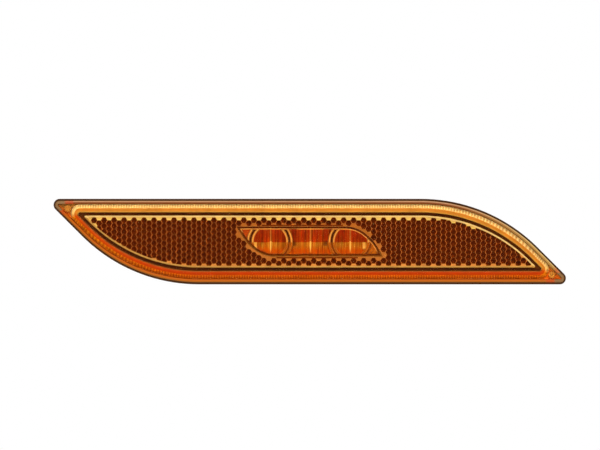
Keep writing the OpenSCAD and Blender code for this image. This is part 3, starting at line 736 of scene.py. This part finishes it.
ring = (
    (ring_sole, 1.95, -4.95), (ring_line, 2.1, -5.0), (fluted, 2.1, -5.6), (fluted, 2.85, -6.45),
    (fluted, 3.55, -7.25), (ring_line, 3.75, -7.3), (ring_line, 4.9, -7.3), (ring_line, 5.3, -7.1),
    (ring_line, 5.3, -5.0), (ring_sole, 6.55, -4.95), (ring_sole, 1.95, -4.95),
)
bm = bmesh.new()
sweep(bm, [(line_of(d), y, d) for line_of, d, y in ring], (2, 0, 0, 0, 1, 1, 4, 4, 3, 3))
# painted light and shade: each finish takes one colour on the runs that face up and another on those that face
# down, and the flutes' valleys are darkened
ring_finishes = [
    amber_run("RingFlutes", (1.0, 0.93, 0.83), (0.74, 0.20, 0.012), 0.3, 0.75, 1.0, Specular_IOR_Level=0.0),
    amber_run("RingBand", (0.68, 0.31, 0.055), (0.55, 0.056, 0.001), 0.25, 0.0, 1.0, Specular_IOR_Level=0.04),
    amber_run("RingSkirt", (0.28, 0.14, 0.05), (0.62, 0.12, 0.006), 0.3, Specular_IOR_Level=0.05),
    amber_run("RingGroove", (0.06, 0.0137, 0.001), (0.055, 0.012, 0.001), 0.4, Specular_IOR_Level=0.08),
    amber_run("RingLip", (0.42, 0.26, 0.09), (0.20, 0.055, 0.01), 0.3, Specular_IOR_Level=0.1),
]
finish_piece(bm, "TrimRing", ["trim_ring"], ring_finishes)

# Lens: one clear amber cap, gently crowned, that covers everything and is welded down round
# its foot. Its edge has an opaque brown finish, with a painted highlight near the outside and
# painted light and shade that differ from top to bottom, and each end has a small tube under
# it that takes a locating pin.
LENS_STEPS = (72, 10, 28, 40)
LENS_EDGE, EDGE_IN = 0.75, 2.0
TUBE_X, TUBE_Z = 0.0945, 0.013
lens_finish, lens_tree, lens_skin = new_finish(
    "AmberLens", (1.0, 0.78, 0.36, 1), 0.03, Transmission_Weight=1.0, IOR=1.49
)


def lets_light_in(tree, skin):
    """The lamps shine straight through this plastic on what lies under it."""
    path = place(tree, "ShaderNodeLightPath", (0, 500))
    clear = place(tree, "ShaderNodeBsdfTransparent", (0, 200))
    clear.inputs["Color"].default_value = (1.0, 0.98, 0.92, 1)
    either = place(tree, "ShaderNodeMixShader", (350, 300))
    tree.links.new(path.outputs["Is Shadow Ray"], either.inputs["Fac"])
    tree.links.new(skin.outputs["BSDF"], either.inputs[1])
    tree.links.new(clear.outputs["BSDF"], either.inputs[2])
    tree.links.new(either.outputs["Shader"], tree.nodes["Material Output"].inputs["Surface"])


lets_light_in(lens_tree, lens_skin)
lens_wave = cloud(lens_tree, own_place(lens_tree, (-900, 0)), 90, 2, (-700, 0))
lens_rough = ranged(lens_tree, lens_wave, 0.3, 0.7, 0.015, 0.05, at=(-450, 0))
lens_tree.links.new(lens_rough, lens_skin.inputs["Roughness"])
roughened(lens_tree, lens_skin, lens_wave, 0.1, 0.00001)
# painted light and shade: the weld seam is darker on its top run and paler on its bottom one
weld = amber_run("WeldSeam", (0.2, 0.065, 0.008), (0.47, 0.14, 0.012), 0.6, Specular_IOR_Level=0.1)
tube_finish = amber_run("LensTube", (0.34, 0.17, 0.06), (0.34, 0.17, 0.06), 0.35, Specular_IOR_Level=0.05)

# near both ends of the lens its edge is made redder, and brown closest to each tip
tip_tone, t_in, t_out = new_group("TipTone", {"Color": "Color"}, {"Color": "Color"})
t_x, _, t_z = split(tip_tone, own_place(tip_tone, (-1500, -200)), (-1300, -200))
t_out_x = chain(tip_tone, "ABSOLUTE", t_x, at=(-1100, -200))
t_level = chain(tip_tone, "MULTIPLY", t_x, t_z, (-1100, -400))
t_edge = chain(tip_tone, "LESS_THAN", t_level, -0.00118, (-900, -400))
t_top_red = ranged(tip_tone, t_out_x, 0.0918, 0.0926, at=(-900, -200))
t_side_red = ranged(tip_tone, t_out_x, 0.0950, 0.0962, at=(-900, 0))
t_red = place(tip_tone, "ShaderNodeMix", (-700, -100), data_type="FLOAT")
for i, value in ((0, t_edge), (2, t_side_red), (3, t_top_red)):
    tip_tone.links.new(value, t_red.inputs[i])
t_amount = chain(tip_tone, "MULTIPLY", t_red.outputs[0], 0.65, (-600, -200))
t_reddened = mixed(tip_tone, t_amount, t_in.outputs["Color"], (0.40, 0.045, 0.006, 1), (-500, 0))
t_side_brown = ranged(tip_tone, t_out_x, 0.0950, 0.0960, at=(-900, -600))
t_brown = chain(tip_tone, "MULTIPLY", t_side_brown, t_edge, (-700, -500))
t_browned = mixed(tip_tone, t_brown, t_reddened, (0.20, 0.10, 0.035, 1), (-200, 0))
tip_tone.links.new(t_browned, t_out.inputs["Color"])

edge, edge_tree, edge_skin = new_finish("LensEdge", rgb(126, 63, 8), 0.3, Specular_IOR_Level=0.08)
lets_light_in(edge_tree, edge_skin)
across = ranged(edge_tree, carried(edge_tree, "inset", (-1100, 100)), LENS_EDGE, EDGE_IN, at=(-900, 100))
edge_lift = carried(edge_tree, "lift", (-1100, -200))
edge_runs = []
# painted light: the first ramp is the top run's, and its pale stops near the outside are a painted highlight;
# the second, redder ramp is the bottom run's
for stops in (
    (
        (0.0, (84, 48, 14)), (0.14, (182, 136, 96)), (0.32, (170, 120, 80)),
        (0.5, (116, 62, 22)), (0.75, (108, 52, 3)), (1.0, (114, 58, 4)),
    ),
    (
        (0.0, (76, 36, 6)), (0.2, (158, 90, 18)), (0.45, (152, 76, 0)),
        (0.75, (176, 82, 3)), (1.0, (164, 74, 2)),
    ),
):
    run = place(edge_tree, "ShaderNodeValToRGB", (-700, 100 - 300 * len(edge_runs)))
    for i, (stop, colour) in enumerate(stops):
        e = run.color_ramp.elements[i] if i < 2 else run.color_ramp.elements.new(stop)
        e.position = stop
        e.color = rgb(*colour)
    edge_tree.links.new(across, run.inputs["Fac"])
    edge_runs.append(run.outputs["Color"])
edge_side = ranged(edge_tree, edge_lift, -0.45, 0.45, at=(-700, 400))
edge_even = mixed(edge_tree, edge_side, edge_runs[1], edge_runs[0], (-300, 100))
# painted light: where the edge leaves the level it turns olive, and its inner part gets paler there
edge_tilt = ranged(edge_tree, edge_lift, 0.985, 0.75, 0.0, 1.0, (-700, 600))
edge_up = chain(edge_tree, "MULTIPLY", edge_tilt, edge_side, (-500, 600))
edge_olive = mixed(edge_tree, edge_up, edge_even, (1.35, 1.75, 1.2, 1), (-300, 300), "MULTIPLY")
edge_far_in = ranged(edge_tree, across, 0.35, 0.6, at=(-500, 800))
edge_inner = chain(edge_tree, "MULTIPLY", edge_up, edge_far_in, (-400, 700))
edge_pale = mixed(edge_tree, edge_inner, edge_olive, (0.31, 0.155, 0.034, 1), (-300, 500))
edge_tip = place(edge_tree, "ShaderNodeGroup", (-300, -200), node_tree=tip_tone)
edge_tree.links.new(edge_pale, edge_tip.inputs["Color"])
edge_tree.links.new(edge_tip.outputs["Color"], edge_skin.inputs["Base Color"])

bm = bmesh.new()
shell = [
    (12, -7.3), (7, -7.3), (2.4, -7.3), (2.02, -7.3), (1.92, -7.26), (1.87, -7.15), (1.8, -4.53),
    (1.3, -4.53), (0.75, -4.53), (0.75, -6.5), (0.75, -8.7), (0.765, -8.86), (0.81, -9.02),
    (0.88, -9.16), (0.97, -9.27), (1.08, -9.35), (1.22, -9.41), (1.4, -9.45), (1.65, -9.475),
    (1.95, -9.487), (2.4, -9.5), (4.7, -9.62), (7, -9.71), (9.5, -9.79), (12, -9.85),
]
shell_slots = [0] * 3 + [2, 2, 0, 1, 1] + [2] * 11 + [0] * 5
lens_loops = sweep(bm, [(outline(d, None, LENS_STEPS), y, d) for d, y in shell], shell_slots)
for loop in (lens_loops[0], lens_loops[-1]):
    bmesh.ops.contextual_create(bm, geom=loop)
level_circle = Matrix.Rotation(math.radians(90), 4, "X")
for side in (-1, 1):
    middle = Vector((side * TUBE_X, 0, -side * TUBE_Z))
    tube = bmesh.ops.create_circle(bm, segments=32, radius=0.0007, matrix=level_circle)["verts"]
    hoop = list({e for v in tube for e in v.link_edges})
    for v in tube:
        v.co += middle + Vector((0, -0.00728, 0))
    made = bmesh.ops.contextual_create(bm, geom=hoop)["faces"]
    for radius, depth in ((0.0009, -0.00722), (0.00125, -0.00728), (0.00125, -0.00497), (0.0009, -0.00497)):
        grown = bmesh.ops.extrude_edge_only(bm, edges=hoop)["geom"]
        fresh = {g for g in grown if isinstance(g, bmesh.types.BMVert)}
        hoop = [g for g in grown if isinstance(g, bmesh.types.BMEdge) and fresh.issuperset(g.verts)]
        made += [g for g in grown if isinstance(g, bmesh.types.BMFace)]
        for v in fresh:
            way = Vector((v.co.x - middle.x, 0, v.co.z - middle.z)).normalized() * radius
            v.co = middle + way + Vector((0, depth, 0))
    for f in made + bmesh.ops.contextual_create(bm, geom=hoop)["faces"]:
        f.material_index = 3
finish_piece(bm, "Lens", ["lens"], [lens_finish, weld, edge, tube_finish])

# Studio: a pale floor well below the lamp, a soft box above, a weak fill from below the
# camera, a lamp behind for the back, and a white surround that only the camera and clear
# plastic see.
FLOOR_Z, FLOOR_RADIUS = -0.6, 2.6
bm = bmesh.new()
level = Matrix.Translation((0, 0, FLOOR_Z))
bmesh.ops.create_circle(bm, cap_ends=True, segments=96, radius=FLOOR_RADIUS, matrix=level)
floor_mesh = bpy.data.meshes.new("Floor")
bm.to_mesh(floor_mesh)
bm.free()
floor = bpy.data.objects.new("Floor", floor_mesh)
bpy.context.scene.collection.objects.link(floor)
floor_finish, floor_tree, floor_skin = new_finish(
    "PaleFloor", (0.8, 0.8, 0.8, 1), 0.8, Emission_Color=(1, 1, 1, 1)
)
floor_path = place(floor_tree, "ShaderNodeLightPath", (-700, -300))
floor_glow = chain(floor_tree, "MULTIPLY", floor_path.outputs["Is Camera Ray"], 0.35, (-400, -300))
floor_tree.links.new(floor_glow, floor_skin.inputs["Emission Strength"])
floor_finish.cycles.emission_sampling = "NONE"
floor_mesh.materials.append(floor_finish)
for name, at, size, watts in (
    ("SoftBox", (0.0, -0.85, 0.42), (1.0, 0.4), 9.0),
    ("Fill", (0.0, -0.7, -0.25), (0.9, 0.3), 2.5),
    ("Back", (0.35, 0.9, 0.6), (1.0, 0.5), 9.0),
):
    lamp = bpy.data.lights.new(name, "AREA")
    lamp.shape = "RECTANGLE"
    lamp.size, lamp.size_y = size
    lamp.energy = watts
    box = bpy.data.objects.new(name, lamp)
    box.location = at
    box.rotation_euler = (-Vector(at)).to_track_quat("-Z", "Y").to_euler()
    bpy.context.scene.collection.objects.link(box)
world = bpy.data.worlds.new("Surround")
bpy.context.scene.world = world
world.use_nodes = True
w = world.node_tree
w_path = place(w, "ShaderNodeLightPath", (-800, 300)).outputs
w_bounces = chain(w, "ADD", w_path["Diffuse Depth"], w_path["Glossy Depth"], (-800, 150))
w_direct = chain(w, "LESS_THAN", w_bounces, 0.5, (-700, 150))
w_through = chain(w, "MULTIPLY", w_path["Is Transmission Ray"], w_direct, (-600, 200))
w_seen = chain(w, "MAXIMUM", w_path["Is Camera Ray"], w_through, (-600, 300))
w_at = place(w, "ShaderNodeTexCoord", (-1000, 0)).outputs["Generated"]
_, w_y, w_z = split(w, w_at, (-800, 0))
w_up = ranged(w, w_z, -0.2, 0.9, 0.15, 0.8, (-600, 0))
w_front = ranged(w, w_y, -1.0, -0.4, 0.1, 1.0, (-600, -300))
w_dim = chain(w, "MULTIPLY", w_up, w_front, (-450, 0))
w.links.new(mixed(w, w_seen, w_dim, (1, 1, 1, 1), (-300, 100)), w.nodes["Background"].inputs["Color"])
# the picture is 0.234 m wide at the lens, which lies 1.99 m in front of the camera
SENSOR_MM, PICTURE_WIDE, LENS_AWAY = 36, 0.234, 1.99
camera = bpy.data.cameras.new("Camera")
camera.sensor_width = SENSOR_MM
camera.lens = SENSOR_MM * LENS_AWAY / PICTURE_WIDE
camera.clip_end = 20
eye = bpy.data.objects.new("Camera", camera)
eye.location = (-0.0038, -2.0, 0.00648)
eye.rotation_euler = (math.radians(90), 0, 0)
bpy.context.scene.collection.objects.link(eye)
bpy.context.scene.camera = eye
bpy.context.scene.view_settings.view_transform = "Standard"
